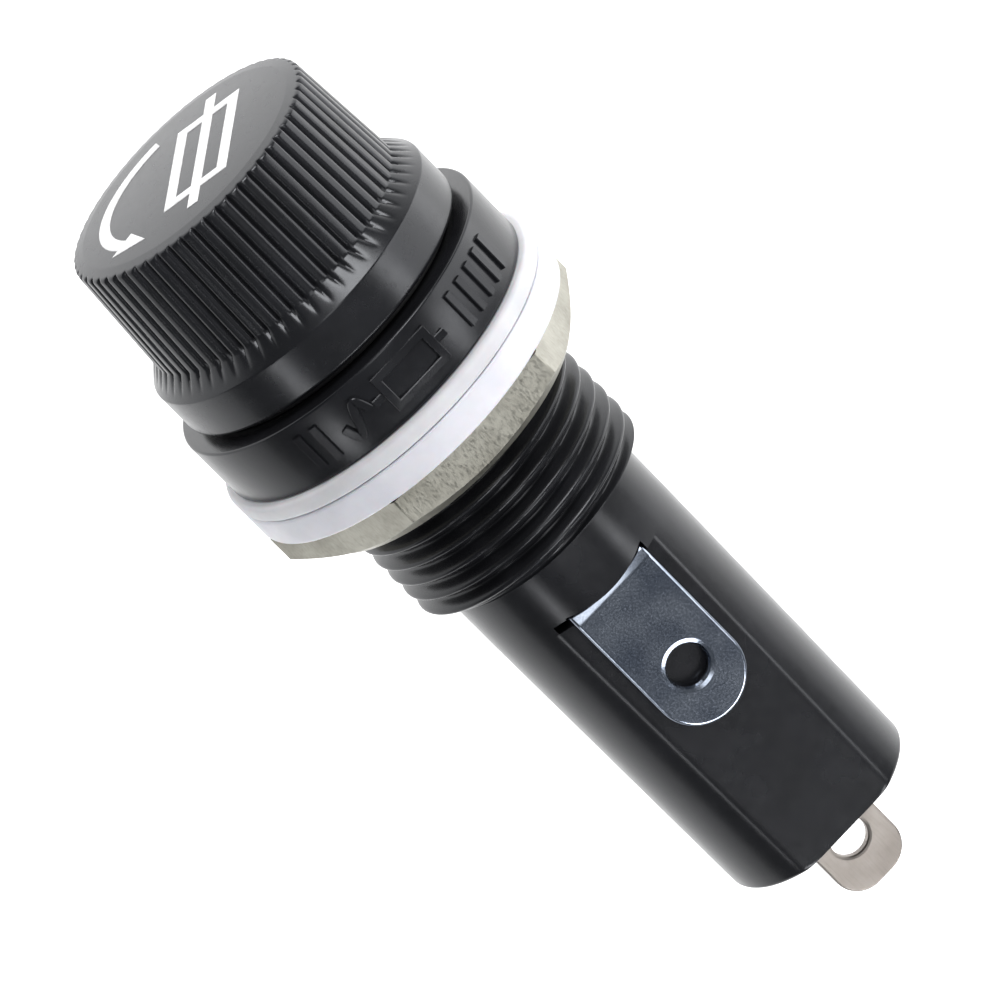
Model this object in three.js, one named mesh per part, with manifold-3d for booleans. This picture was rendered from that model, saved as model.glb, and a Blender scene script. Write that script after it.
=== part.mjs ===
// Panel-mount cartridge fuse holder with a screw cap, for a 6.35 x 31.8 mm glass fuse.
// Millimetres. The long axis is Y: the cap is at -Y, the end terminal at +Y, and the side
// terminal faces +Z. The origin is the centre of the flange's back face, where the panel sits.

import * as THREE from "three";
import { mergeVertices } from "three/addons/utils/BufferGeometryUtils.js";
import Module from "manifold-3d";

// ---- Driving dimensions -------------------------------------------------------------------

const SEGMENTS = 32; // facets round a full turn
const STEP_GAP = 0.02; // gap left between faces that rest on each other
const SIDE_GAP = 0.05; // radial gap of a pressed or sliding fit

// Fuse cartridge
const FUSE_RADIUS = 3.175;
const FUSE_LENGTH = 31.8;
const FUSE_FRONT = -4.3;
const FUSE_CAP_LENGTH = 6.35;
const FUSE_CAP_WALL = 0.28;
const GLASS_WALL = 0.6;
const ELEMENT_RADIUS = 0.2;
const SOLDER_LENGTH = 1.0;

// Body moulding
const FLANGE_RADIUS = 8.5;
const FLANGE_THICKNESS = 3.2;
const THREAD_RADIUS = 6.35;
const THREAD_PITCH = 1.0;
const THREAD_LENGTH = 10.5;
const BARREL_RADIUS = 5.24;
const BARREL_TAPER = 0.14;
const BARREL_END = 30.62;
const BARREL_EDGE = 0.25;
const FLAT_HEIGHT = 4.3;
const MOULDED_EDGE = 0.2; // small rounding or chamfer on moulded rims
const SLOT_FRONT = 13.2;
const SLOT_LEAN = 0.66; // the slot's front wall leans back by this much for each unit outwards
const SLOT_MOUTH = 13.3; // where that wall is level with the tab's edges
const SLOT_NOTCH_X = 3.05;
const SLOT_NOTCH_FRONT = 13.4;
const SLOT_LEAD = 0.2; // chamfer that clears the inside of the strip's bend

// Clamping parts behind the flange
const WASHER_RADIUS = 8.9;
const WASHER_BORE = 6.5;
const GASKET_THICKNESS = 0.9;
const SPACER_THICKNESS = 1.44;
const NUT_ACROSS_FLATS = 15.5;
const NUT_THICKNESS = 2.27;
const NUT_FACE_RADIUS = 7.4;
const NUT_CHAMFER = 0.33;
const NUT_CORNER_CHAMFER = 1.0;
const NUT_TURN = THREE.MathUtils.degToRad(-1.5);

// Sheet-metal terminals
const SHEET = 0.5;
const SIDE_TAB_WIDTH = 4.6;
const SIDE_TAB_TOP = 4.87;
const SIDE_TAB_END = 22.15;
const SIDE_HOLE_RADIUS = 1.0;
const SIDE_HOLE_FROM_END = 3.05;
const SIDE_BEND_RADIUS = 0.35;
const END_TAB_WIDTH = 3.75;
const END_TAB_THICKNESS = 0.56;
const END_TAB_END = 35.55;
const END_TAB_CORNER = 1.45;
const END_HOLE_RADIUS = 0.95;
const END_HOLE_Y = 32.85;
const EAR_LENGTH = 0.4;
const EAR_REACH = 2.1;
const CUP_LENGTH = 4.5;
const CUP_WALL = 0.28;
const CUP_SLIT_LENGTH = 3.0;

// Contact sleeve in the body and thread shell in the cap
const SLEEVE_RADIUS = 4.5;
const SLEEVE_WALL = 0.4;
const SLEEVE_FRONT = -2.9;
const SHELL_RADIUS = 3.6;
const SHELL_WALL = 0.3;
const SHELL_END = 3.2;
const SHELL_FRONT = -10.8;
const CONTACT_PITCH = 1.5;
const CONTACT_RIDGE = 0.4;
const ENGAGEMENT = 3.0;
const SLIT_WIDTH = 0.7;
const SLIT_FROM_THREAD = 0.6;
const SOLDER_BEAD = 0.4;
const SOLDER_BEAD_WIDTH = 2.2;
const SOLDER_BEAD_INSET = 0.25;

// Cap
const CAP_FRONT = -12.55;
const CAP_BACK = -3.6;
const FACE_RADIUS = 5.9;
const KNURL_FRONT = -12.2;
const KNURL_FRONT_RADIUS = 6.66;
const KNURL_BACK_RADIUS = 7.02;
const KNURL_DEPTH = 0.3;
const KNURL_RIBS = 60;
const COLLAR_RADIUS = 7.86;
const COLLAR_CONE_FRONT = -6.76;
const COLLAR_CONE_BACK = -5.78;
const SEAL_INNER = 5.2;
const SEAL_OUTER = 7.2;

// Spring in the cap
const SPRING_RADIUS = 2.55;
const SPRING_WIRE = 0.25;
const SPRING_TURNS = 5;
const PLATE_RADIUS = 3.05;
const PLATE_THICKNESS = 0.5;
const BOSS_HEIGHT = 0.9;
const BOSS_TIP_RADIUS = 1.6;
const BOSS_RADIUS = 2.0;

// ---- Sizes worked out from them -----------------------------------------------------------

const FULL_TURN = Math.PI * 2;
const OVERCUT = 1; // how far a cutter runs past what it cuts
const BEYOND = 8; // further out than any cut across the barrel needs
const THREAD_MINOR = THREAD_RADIUS - 0.61 * THREAD_PITCH;
const THREAD_CREST_WIDTH = 0.15 * THREAD_PITCH;
const THREAD_SLOPE = 2 * Math.tan(Math.PI / 6);
const THREAD_START = -0.2;
const SLOT_BACK = SLOT_FRONT + SHEET + 2 * SIDE_GAP;
const SLEEVE_INNER = SLEEVE_RADIUS - SLEEVE_WALL;
const SLEEVE_BACK = SLOT_FRONT;
const SLEEVE_BORE = SLEEVE_RADIUS + SIDE_GAP;
const FUSE_BORE = FUSE_RADIUS + 0.32;
const RISER_BOTTOM = FUSE_RADIUS + 0.42;
const FUSE_REAR = FUSE_FRONT + FUSE_LENGTH;
const EAR_FRONT = FUSE_REAR + SIDE_GAP;
const CUP_BOTTOM_FRONT = EAR_FRONT + EAR_LENGTH + STEP_GAP;
const CUP_BOTTOM_BACK = CUP_BOTTOM_FRONT + CUP_WALL;
const BORE_END = CUP_BOTTOM_BACK + STEP_GAP;
const STEM_WIDTH = 2.6;
const STEM_HALF_SLOT = STEM_WIDTH / 2 + SIDE_GAP;
const SHEET_HALF_SLOT = SHEET / 2 + SIDE_GAP;
const CONTACT_CREST_WIDTH = 0.35;
const CONTACT_SLOPE = 1.25;
const SLEEVE_THREAD_FRONT = -2.5;
const SHELL_THREAD_BACK = SLEEVE_THREAD_FRONT + ENGAGEMENT;
const NUT_FRONT = GASKET_THICKNESS + SPACER_THICKNESS + 2 * STEP_GAP;
const NUT_BACK = NUT_FRONT + NUT_THICKNESS;
const NUT_THREAD_ROOT = THREAD_RADIUS + 0.1;
const NUT_THREAD_CREST = THREAD_MINOR + 0.12;
const PLATE_BACK = FUSE_FRONT - SIDE_GAP;
const PLATE_FRONT = PLATE_BACK - PLATE_THICKNESS;

// ---- Solids -------------------------------------------------------------------------------

const wasm = await Module();
wasm.setup();

/** A closed three.js geometry as a manifold solid. */
function solid(geometry) {
  const plain = geometry.clone();
  for (const name of Object.keys(plain.attributes)) {
    if (name !== "position") plain.deleteAttribute(name);
  }
  const merged = mergeVertices(plain, 1e-5);
  const vertProperties = new Float32Array(merged.attributes.position.array);
  const corners = [];
  for (let i = 0; i < merged.index.count; i += 3) {
    const [a, b, c] = merged.index.array.slice(i, i + 3);
    if (a !== b && b !== c && c !== a) corners.push(a, b, c); // a fan at the axis has flat ones
  }
  const triVerts = new Uint32Array(corners);
  return new wasm.Manifold(new wasm.Mesh({ numProp: 3, vertProperties, triVerts }));
}

/** A manifold solid back as a three.js geometry. */
function geometryOf(shape) {
  const { vertProperties, triVerts } = shape.getMesh();
  const geometry = new THREE.BufferGeometry();
  geometry.setAttribute("position", new THREE.BufferAttribute(new Float32Array(vertProperties), 3));
  geometry.setIndex(new THREE.BufferAttribute(new Uint32Array(triVerts), 1));
  return geometry;
}

/** A solid of revolution about Y from [radius, y] points that start and end on the axis. */
function turned(points, segments = SEGMENTS) {
  const profile = points.map(([radius, y]) => new THREE.Vector2(radius, y));
  return solid(new THREE.LatheGeometry(profile, segments));
}

/** A round bar about Y between two heights. */
function bar(radius, yLow, yHigh, segments = SEGMENTS) {
  return turned([[0, yLow], [radius, yLow], [radius, yHigh], [0, yHigh]], segments);
}

/** A ring about Y. */
function ring(inner, outer, yLow, yHigh) {
  return bar(outer, yLow, yHigh).subtract(bar(inner, yLow - OVERCUT, yHigh + OVERCUT));
}

/** A box between two corners. */
function block(low, high) {
  const size = high.map((value, i) => value - low[i]);
  const centre = high.map((value, i) => (value + low[i]) / 2);
  return solid(new THREE.BoxGeometry(...size).translate(...centre));
}

/** A prism whose outline lies in the XY plane, between two heights along Z. */
function plate(outline, zLow, zHigh) {
  const options = { depth: zHigh - zLow, bevelEnabled: false, curveSegments: 12 };
  return solid(new THREE.ExtrudeGeometry(outline, options).translate(0, 0, zLow));
}

/** A prism whose outline is drawn as (x, z), between two places along Y, scaled at its low end. */
function lengthwise(outline, yLow, yHigh, lowScale = 1) {
  const options = { depth: yHigh - yLow, bevelEnabled: false, curveSegments: 12 };
  const geometry = new THREE.ExtrudeGeometry(outline, options);
  geometry.rotateX(Math.PI / 2).translate(0, yHigh, 0);
  const points = geometry.attributes.position;
  for (let i = 0; i < points.count; i += 1) {
    const atLow = points.getY(i) < (yLow + yHigh) / 2;
    if (atLow) points.setXYZ(i, points.getX(i) * lowScale, points.getY(i), points.getZ(i) * lowScale);
  }
  return solid(geometry);
}

/** A prism whose outline is drawn as (y, z), centred across X. */
function crosswise(outline, width) {
  const options = { depth: width, bevelEnabled: false, curveSegments: 8 };
  const geometry = new THREE.ExtrudeGeometry(outline, options);
  geometry.translate(0, 0, -width / 2);
  const axes = new THREE.Matrix4().makeBasis(
    new THREE.Vector3(0, 1, 0),
    new THREE.Vector3(0, 0, 1),
    new THREE.Vector3(1, 0, 0),
  );
  return solid(geometry.applyMatrix4(axes));
}

/**
 * A right-hand helical ridge about Y. Its section is a trapezoid that is crestWidth wide at
 * crest and widens by slope towards root, which lies a little inside the wall that it grows from.
 */
function helicalRidge({ pitch, yStart, turns, root, crest, crestWidth, slope }) {
  const depth = Math.abs(crest - root);
  const half = (crestWidth + slope * depth) / 2;
  const section = [[root, -half], [crest, -crestWidth / 2], [crest, crestWidth / 2], [root, half]];
  if (crest < root) section.reverse();
  const steps = Math.round(turns * SEGMENTS);
  const positions = [];
  for (let i = 0; i <= steps; i += 1) {
    const angle = (FULL_TURN * i) / SEGMENTS;
    const y = yStart + (pitch * i) / SEGMENTS;
    for (const [radius, rise] of section) {
      positions.push(radius * Math.sin(angle), y + rise, radius * Math.cos(angle));
    }
  }
  const index = [0, 1, 2, 0, 2, 3];
  for (let i = 0; i < steps; i += 1) {
    for (let k = 0; k < 4; k += 1) {
      const a = 4 * i + k;
      const b = 4 * i + ((k + 1) % 4);
      index.push(a, a + 4, b, b, a + 4, b + 4);
    }
  }
  const last = 4 * steps;
  index.push(last, last + 2, last + 1, last, last + 3, last + 2);
  const geometry = new THREE.BufferGeometry();
  geometry.setAttribute("position", new THREE.Float32BufferAttribute(positions, 3));
  geometry.setIndex(index);
  return solid(geometry);
}

/** A round coil about Y whose ends are ground flat between two heights. */
function coil(radius, wire, turns, yLow, yHigh) {
  const rise = (yHigh - yLow - 2 * wire) / turns;
  class Helix extends THREE.Curve {
    getPoint(t, target = new THREE.Vector3()) {
      const angle = FULL_TURN * turns * t;
      const y = yLow + wire + rise * turns * t;
      return target.set(radius * Math.sin(angle), y, radius * Math.cos(angle));
    }
  }
  const section = new THREE.Shape();
  section.absarc(0, 0, wire, 0, FULL_TURN);
  const options = { steps: turns * 16, curveSegments: 3, bevelEnabled: false, extrudePath: new Helix() };
  return solid(new THREE.ExtrudeGeometry(section, options));
}

// ---- Body moulding, washers and nut -------------------------------------------------------

/** Outside of the moulding without its thread: flange, thread core and barrel. */
function bodyOutline() {
  const barrelTip = BARREL_RADIUS - BARREL_TAPER;
  return turned([
    [0, -FLANGE_THICKNESS],
    [FLANGE_RADIUS - MOULDED_EDGE, -FLANGE_THICKNESS],
    [FLANGE_RADIUS, -FLANGE_THICKNESS + MOULDED_EDGE],
    [FLANGE_RADIUS, 0],
    [THREAD_MINOR, 0],
    [THREAD_MINOR, THREAD_LENGTH],
    [BARREL_RADIUS, THREAD_LENGTH],
    [barrelTip, BARREL_END - BARREL_EDGE],
    [barrelTip - BARREL_EDGE, BARREL_END],
    [0, BARREL_END],
  ]);
}

/** The mounting thread, cut off square at its end. */
function bodyThread() {
  const ridge = helicalRidge({
    pitch: THREAD_PITCH,
    yStart: THREAD_START,
    turns: THREAD_LENGTH / THREAD_PITCH + 1.2,
    root: THREAD_MINOR - SIDE_GAP,
    crest: THREAD_RADIUS,
    crestWidth: THREAD_CREST_WIDTH,
    slope: THREAD_SLOPE,
  });
  return ridge.intersect(bar(THREAD_RADIUS + OVERCUT, -OVERCUT, THREAD_LENGTH));
}

/** The slot that the side terminal leaves by: its front wall leans back over the strip's bend. */
function sideSlot() {
  const half = SIDE_TAB_WIDTH / 2 + 2 * SIDE_GAP;
  const mouthHeight = Math.sqrt(BARREL_RADIUS ** 2 - half ** 2);
  const leanStart = mouthHeight - (SLOT_MOUTH - SLOT_FRONT + SIDE_GAP) / SLOT_LEAN;
  const leanEnd = BARREL_RADIUS + SIDE_GAP;
  const back = SLOT_BACK + STEP_GAP;
  const section = new THREE.Shape();
  section.moveTo(SLOT_FRONT - SIDE_GAP, 0);
  section.lineTo(back, 0);
  section.lineTo(back, FLAT_HEIGHT - SLOT_LEAD);
  section.lineTo(back + SLOT_LEAD, FLAT_HEIGHT);
  section.lineTo(back + SLOT_LEAD, leanEnd);
  section.lineTo(SLOT_MOUTH + SLOT_LEAN * (leanEnd - mouthHeight), leanEnd);
  section.lineTo(SLOT_FRONT - SIDE_GAP, leanStart);
  section.closePath();
  const notch = block([half - SIDE_GAP, SLOT_NOTCH_FRONT, 0], [SLOT_NOTCH_X, back, BEYOND]);
  return crosswise(section, 2 * half).add(notch);
}

function makeBody() {
  const sleeveBore = bar(SLEEVE_BORE, -FLANGE_THICKNESS - OVERCUT, SLOT_BACK);
  const fuseBore = bar(FUSE_BORE, 0, BORE_END);
  const flat = block([-BEYOND, SLOT_BACK, FLAT_HEIGHT], [BEYOND, BARREL_END + OVERCUT, BEYOND]);
  const endSlot = block(
    [-STEM_HALF_SLOT, BORE_END - OVERCUT, -SHEET_HALF_SLOT],
    [STEM_HALF_SLOT, BARREL_END + OVERCUT, SHEET_HALF_SLOT],
  );
  let body = bodyOutline().add(bodyThread());
  for (const cut of [sleeveBore, fuseBore, flat, sideSlot(), endSlot]) body = body.subtract(cut);
  return geometryOf(body);
}

function makeWasher(yLow, thickness, edge) {
  const yHigh = yLow + thickness;
  const washer = turned([
    [0, yLow],
    [WASHER_RADIUS - edge, yLow],
    [WASHER_RADIUS, yLow + edge],
    [WASHER_RADIUS, yHigh - edge],
    [WASHER_RADIUS - edge, yHigh],
    [0, yHigh],
  ], 48);
  return geometryOf(washer.subtract(bar(WASHER_BORE, yLow - OVERCUT, yHigh + OVERCUT)));
}

function makeNut() {
  const corner = NUT_ACROSS_FLATS / 2 / Math.cos(Math.PI / 6);
  const outline = new THREE.Shape();
  for (let i = 0; i < 6; i += 1) {
    const angle = NUT_TURN + ((i + 0.5) * Math.PI) / 3;
    const point = [corner * Math.sin(angle), corner * Math.cos(angle)];
    if (i === 0) outline.moveTo(...point);
    else outline.lineTo(...point);
  }
  const chamfered = turned([
    [0, NUT_FRONT],
    [corner, NUT_FRONT],
    [corner, NUT_BACK - NUT_CORNER_CHAMFER],
    [NUT_ACROSS_FLATS / 2, NUT_BACK - NUT_CHAMFER],
    [NUT_FACE_RADIUS, NUT_BACK],
    [0, NUT_BACK],
  ], 96);
  const ridge = helicalRidge({
    pitch: THREAD_PITCH,
    yStart: THREAD_START + 1.5 * THREAD_PITCH,
    turns: 4.5,
    root: NUT_THREAD_ROOT + SIDE_GAP,
    crest: NUT_THREAD_CREST,
    crestWidth: THREAD_CREST_WIDTH - STEP_GAP,
    slope: THREAD_SLOPE,
  });
  const hex = lengthwise(outline, NUT_FRONT, NUT_BACK).intersect(chamfered);
  const opened = hex.subtract(bar(NUT_THREAD_ROOT, NUT_FRONT - OVERCUT, NUT_BACK + OVERCUT));
  return geometryOf(opened.add(ridge.intersect(bar(corner, NUT_FRONT, NUT_BACK))));
}

// ---- Contacts and terminals ---------------------------------------------------------------

function makeSleeve() {
  const tube = ring(SLEEVE_INNER, SLEEVE_RADIUS, SLEEVE_FRONT, SLEEVE_BACK);
  const thread = helicalRidge({
    pitch: CONTACT_PITCH,
    yStart: SLEEVE_THREAD_FRONT + CONTACT_PITCH / 2,
    turns: 2.5,
    root: SLEEVE_INNER + SIDE_GAP,
    crest: SLEEVE_INNER - CONTACT_RIDGE,
    crestWidth: CONTACT_CREST_WIDTH,
    slope: CONTACT_SLOPE,
  });
  return geometryOf(tube.add(thread));
}

/** The side terminal: a strip that stops the sleeve, leaves by the slot and lies along the flat. */
function makeSideTerminal() {
  const front = SLOT_FRONT + SIDE_GAP;
  const bendCentre = front + SHEET + SIDE_BEND_RADIUS;
  const underside = SIDE_TAB_TOP - SHEET;
  const outer = SHEET + SIDE_BEND_RADIUS;
  const bent = new THREE.Shape();
  bent.moveTo(front, RISER_BOTTOM);
  bent.lineTo(front + SHEET, RISER_BOTTOM);
  bent.lineTo(front + SHEET, underside - SIDE_BEND_RADIUS);
  bent.absarc(bendCentre, underside - SIDE_BEND_RADIUS, SIDE_BEND_RADIUS, Math.PI, Math.PI / 2, true);
  bent.lineTo(SIDE_TAB_END, underside);
  bent.lineTo(SIDE_TAB_END, SIDE_TAB_TOP);
  bent.lineTo(bendCentre, SIDE_TAB_TOP);
  bent.absarc(bendCentre, SIDE_TAB_TOP - outer, outer, Math.PI / 2, Math.PI, false);
  bent.closePath();
  const half = SIDE_TAB_WIDTH / 2;
  const roundCentre = SIDE_TAB_END - half;
  const outline = new THREE.Shape();
  outline.moveTo(-half, 0);
  outline.lineTo(half, 0);
  outline.lineTo(half, roundCentre);
  outline.absarc(0, roundCentre, half, 0, Math.PI, false);
  outline.closePath();
  const hole = new THREE.Path();
  hole.absarc(0, SIDE_TAB_END - SIDE_HOLE_FROM_END, SIDE_HOLE_RADIUS, 0, FULL_TURN);
  outline.holes.push(hole);
  const strip = crosswise(bent, SIDE_TAB_WIDTH + OVERCUT);
  return geometryOf(strip.intersect(plate(outline, 0, BEYOND)));
}

/** Solder bead that joins the side terminal to the sleeve's rear rim. */
function makeSleeveSolder() {
  const bead = new THREE.Shape();
  const front = SLOT_FRONT - SOLDER_BEAD;
  const top = SLEEVE_INNER - SOLDER_BEAD_INSET;
  bead.moveTo(SLOT_FRONT, top);
  bead.lineTo(front, top);
  bead.absarc(front, top - SOLDER_BEAD, SOLDER_BEAD, Math.PI / 2, 0, true);
  bead.closePath();
  return geometryOf(crosswise(bead, SOLDER_BEAD_WIDTH));
}

/** Cutter for four slits round Y, between two places along it. */
function crossedSlits(yLow, yHigh) {
  const half = SLIT_WIDTH / 2;
  return block([-BEYOND, yLow, -half], [BEYOND, yHigh, half])
    .add(block([-half, yLow, -BEYOND], [half, yHigh, BEYOND]));
}

/** Cup that grips the rear end of the fuse. */
function makeEndCup() {
  const outer = FUSE_BORE - SIDE_GAP;
  const inner = FUSE_RADIUS + SIDE_GAP;
  const lip = FUSE_REAR - CUP_LENGTH;
  const cup = bar(outer, lip, CUP_BOTTOM_BACK).subtract(bar(inner, lip - OVERCUT, CUP_BOTTOM_FRONT));
  const slot = block(
    [-STEM_HALF_SLOT, EAR_FRONT, -SHEET_HALF_SLOT],
    [STEM_HALF_SLOT, BARREL_END, SHEET_HALF_SLOT],
  );
  const slits = crossedSlits(lip - OVERCUT, lip + CUP_SLIT_LENGTH);
  return geometryOf(cup.subtract(slot).subtract(slits));
}

/** The end terminal: a blade with shoulders outside, and two ears spread inside the cup. */
function makeEndTerminal() {
  const half = END_TAB_WIDTH / 2;
  const shoulder = BARREL_END + STEP_GAP;
  const blade = new THREE.Shape();
  blade.moveTo(-half, shoulder);
  blade.lineTo(half, shoulder);
  blade.lineTo(half, END_TAB_END - END_TAB_CORNER);
  blade.absarc(half - END_TAB_CORNER, END_TAB_END - END_TAB_CORNER, END_TAB_CORNER, 0, Math.PI / 2);
  blade.absarc(END_TAB_CORNER - half, END_TAB_END - END_TAB_CORNER, END_TAB_CORNER, Math.PI / 2, Math.PI);
  blade.closePath();
  const hole = new THREE.Path();
  hole.absarc(0, END_HOLE_Y, END_HOLE_RADIUS, 0, FULL_TURN);
  blade.holes.push(hole);
  const halfStem = STEM_WIDTH / 2;
  const stem = block([-halfStem, EAR_FRONT, -SHEET / 2], [halfStem, shoulder + SIDE_GAP, SHEET / 2]);
  const ears = block([-halfStem, EAR_FRONT, -EAR_REACH], [halfStem, EAR_FRONT + EAR_LENGTH, EAR_REACH]);
  const tail = plate(blade, -END_TAB_THICKNESS / 2, END_TAB_THICKNESS / 2);
  return geometryOf(tail.add(stem).add(ears));
}

// ---- Cap ----------------------------------------------------------------------------------

/** Knurled knob with a collar; the ribs are a tapered star-shaped prism round a turned core. */
function makeKnob() {
  const core = turned([
    [0, CAP_FRONT],
    [FACE_RADIUS, CAP_FRONT],
    [KNURL_FRONT_RADIUS - KNURL_DEPTH, (CAP_FRONT + KNURL_FRONT) / 2],
    [KNURL_BACK_RADIUS - KNURL_DEPTH, COLLAR_CONE_FRONT],
    [KNURL_BACK_RADIUS, COLLAR_CONE_FRONT],
    [COLLAR_RADIUS, COLLAR_CONE_BACK],
    [COLLAR_RADIUS, CAP_BACK - MOULDED_EDGE],
    [COLLAR_RADIUS - MOULDED_EDGE, CAP_BACK],
    [0, CAP_BACK],
  ], 48);
  const star = new THREE.Shape();
  for (let i = 0; i < 2 * KNURL_RIBS; i += 1) {
    const angle = (Math.PI * i) / KNURL_RIBS;
    const radius = KNURL_BACK_RADIUS - (i % 2) * KNURL_DEPTH;
    if (i === 0) star.moveTo(0, radius);
    else star.lineTo(radius * Math.sin(angle), radius * Math.cos(angle));
  }
  const draft = KNURL_FRONT_RADIUS / KNURL_BACK_RADIUS;
  const ribs = lengthwise(star, KNURL_FRONT, COLLAR_CONE_FRONT + SIDE_GAP, draft);
  const recess = bar(SHELL_RADIUS + SIDE_GAP, SHELL_FRONT - SIDE_GAP, 0);
  return geometryOf(core.add(ribs).subtract(recess));
}

function makeSeal() {
  const front = CAP_BACK + STEP_GAP;
  return geometryOf(ring(SEAL_INNER, SEAL_OUTER, front, -FLANGE_THICKNESS - STEP_GAP));
}

/** Metal shell in the cap: a cup with a rolled thread outside and four gripping fingers. */
function makeShell() {
  const inner = SHELL_RADIUS - SHELL_WALL;
  const tube = bar(SHELL_RADIUS, SHELL_FRONT, SHELL_END);
  const thread = helicalRidge({
    pitch: CONTACT_PITCH,
    yStart: SHELL_THREAD_BACK - 2 * CONTACT_PITCH,
    turns: 1.75,
    root: SHELL_RADIUS - SIDE_GAP,
    crest: SHELL_RADIUS + CONTACT_RIDGE,
    crestWidth: CONTACT_CREST_WIDTH,
    slope: CONTACT_SLOPE,
  });
  const hollow = bar(inner, SHELL_FRONT + SHELL_WALL, SHELL_END + OVERCUT);
  const slits = crossedSlits(SHELL_THREAD_BACK + SLIT_FROM_THREAD, SHELL_END + OVERCUT);
  return geometryOf(tube.add(thread).subtract(hollow).subtract(slits));
}

function makeSpring() {
  const front = SHELL_FRONT + SHELL_WALL + STEP_GAP;
  return geometryOf(coil(SPRING_RADIUS, SPRING_WIRE, SPRING_TURNS, front, PLATE_FRONT - STEP_GAP));
}

/** Disc that the spring presses against the fuse, with a boss that centres the spring. */
function makePlate() {
  return geometryOf(turned([
    [0, PLATE_FRONT - BOSS_HEIGHT],
    [BOSS_TIP_RADIUS, PLATE_FRONT - BOSS_HEIGHT],
    [BOSS_RADIUS, PLATE_FRONT],
    [PLATE_RADIUS, PLATE_FRONT],
    [PLATE_RADIUS, PLATE_BACK],
    [0, PLATE_BACK],
  ]));
}

// ---- Fuse ---------------------------------------------------------------------------------

/** End cap of the fuse: closed at yEnd, open towards yEnd + direction * length. */
function makeFuseCap(yEnd, direction) {
  const yOpen = yEnd + direction * FUSE_CAP_LENGTH;
  const yFloor = yEnd + direction * FUSE_CAP_WALL;
  const yPast = yOpen + direction;
  const outside = bar(FUSE_RADIUS, Math.min(yEnd, yOpen), Math.max(yEnd, yOpen));
  const inner = FUSE_RADIUS - FUSE_CAP_WALL;
  return geometryOf(outside.subtract(bar(inner, Math.min(yFloor, yPast), Math.max(yFloor, yPast))));
}

function makeGlassTube() {
  const outer = FUSE_RADIUS - FUSE_CAP_WALL - SIDE_GAP;
  const end = FUSE_CAP_WALL + STEP_GAP;
  return geometryOf(ring(outer - GLASS_WALL, outer, FUSE_FRONT + end, FUSE_REAR - end));
}

function makeFuseSolder(yEnd, direction) {
  const radius = FUSE_RADIUS - FUSE_CAP_WALL - 2 * SIDE_GAP - GLASS_WALL;
  const yNear = yEnd + direction * (FUSE_CAP_WALL + STEP_GAP);
  const yFar = yNear + direction * SOLDER_LENGTH;
  const points = [
    [0, yNear],
    [radius, yNear],
    [radius, (2 * yNear + yFar) / 3],
    [radius / 2, yFar],
    [0, yFar],
  ];
  return geometryOf(turned(direction > 0 ? points : points.reverse(), 20));
}

function makeElement() {
  const inset = FUSE_CAP_WALL + SOLDER_LENGTH + 2 * STEP_GAP;
  return geometryOf(bar(ELEMENT_RADIUS, FUSE_FRONT + inset, FUSE_REAR - inset, 8));
}

// ---- Assembly -----------------------------------------------------------------------------

const LOOKS = {
  black: { color: 0x1b1b1d, roughness: 0.35, metalness: 0 },
  rubber: { color: 0x111112, roughness: 0.8, metalness: 0 },
  white: { color: 0xe4e4ea, roughness: 0.5, metalness: 0 },
  zinc: { color: 0xb5b3a4, roughness: 0.35, metalness: 1 },
  tin: { color: 0xa9aeb4, roughness: 0.25, metalness: 1 },
  nickel: { color: 0xb8b2a6, roughness: 0.3, metalness: 1 },
  brass: { color: 0xb08d4c, roughness: 0.3, metalness: 1 },
  solder: { color: 0x9a9b9e, roughness: 0.35, metalness: 1 },
  glass: { color: 0xdfe8e6, roughness: 0.05, metalness: 0, transparent: true, opacity: 0.35 },
};

const holder = new THREE.Group();

function addPart(name, geometry, look) {
  const mesh = new THREE.Mesh(geometry, new THREE.MeshStandardMaterial(LOOKS[look]));
  mesh.name = name;
  holder.add(mesh);
}

addPart("body_moulding", makeBody(), "black");
addPart("panel_gasket", makeWasher(STEP_GAP, GASKET_THICKNESS - STEP_GAP, 0.15), "white");
addPart("spacer_washer", makeWasher(GASKET_THICKNESS + STEP_GAP, SPACER_THICKNESS, 0.1), "white");
addPart("hex_nut", makeNut(), "zinc");
addPart("contact_sleeve", makeSleeve(), "brass");
addPart("side_terminal", makeSideTerminal(), "tin");
addPart("sleeve_solder", makeSleeveSolder(), "solder");
addPart("end_contact_cup", makeEndCup(), "brass");
addPart("end_terminal", makeEndTerminal(), "nickel");
addPart("cap_knob", makeKnob(), "black");
addPart("cap_seal", makeSeal(), "rubber");
addPart("cap_thread_shell", makeShell(), "brass");
addPart("cap_spring", makeSpring(), "nickel");
addPart("spring_plate", makePlate(), "brass");
addPart("fuse_glass_tube", makeGlassTube(), "glass");
addPart("fuse_cap_front", makeFuseCap(FUSE_FRONT, 1), "nickel");
addPart("fuse_cap_rear", makeFuseCap(FUSE_REAR, -1), "nickel");
addPart("fuse_element", makeElement(), "solder");
addPart("fuse_solder_front", makeFuseSolder(FUSE_FRONT, 1), "solder");
addPart("fuse_solder_rear", makeFuseSolder(FUSE_REAR, -1), "solder");

export default holder;
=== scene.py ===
"""Looks of a panel-mount cartridge fuse holder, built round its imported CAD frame.

Lengths in this script are millimetres until mesh_piece() turns them into metres. The long axis
is Y, the cap is at -Y, the side terminal faces +Z, and an angle about Y starts at +Z and grows
towards +X.
"""

import math

import bmesh
import bpy
import numpy as np
from mathutils import Matrix, Vector


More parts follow.
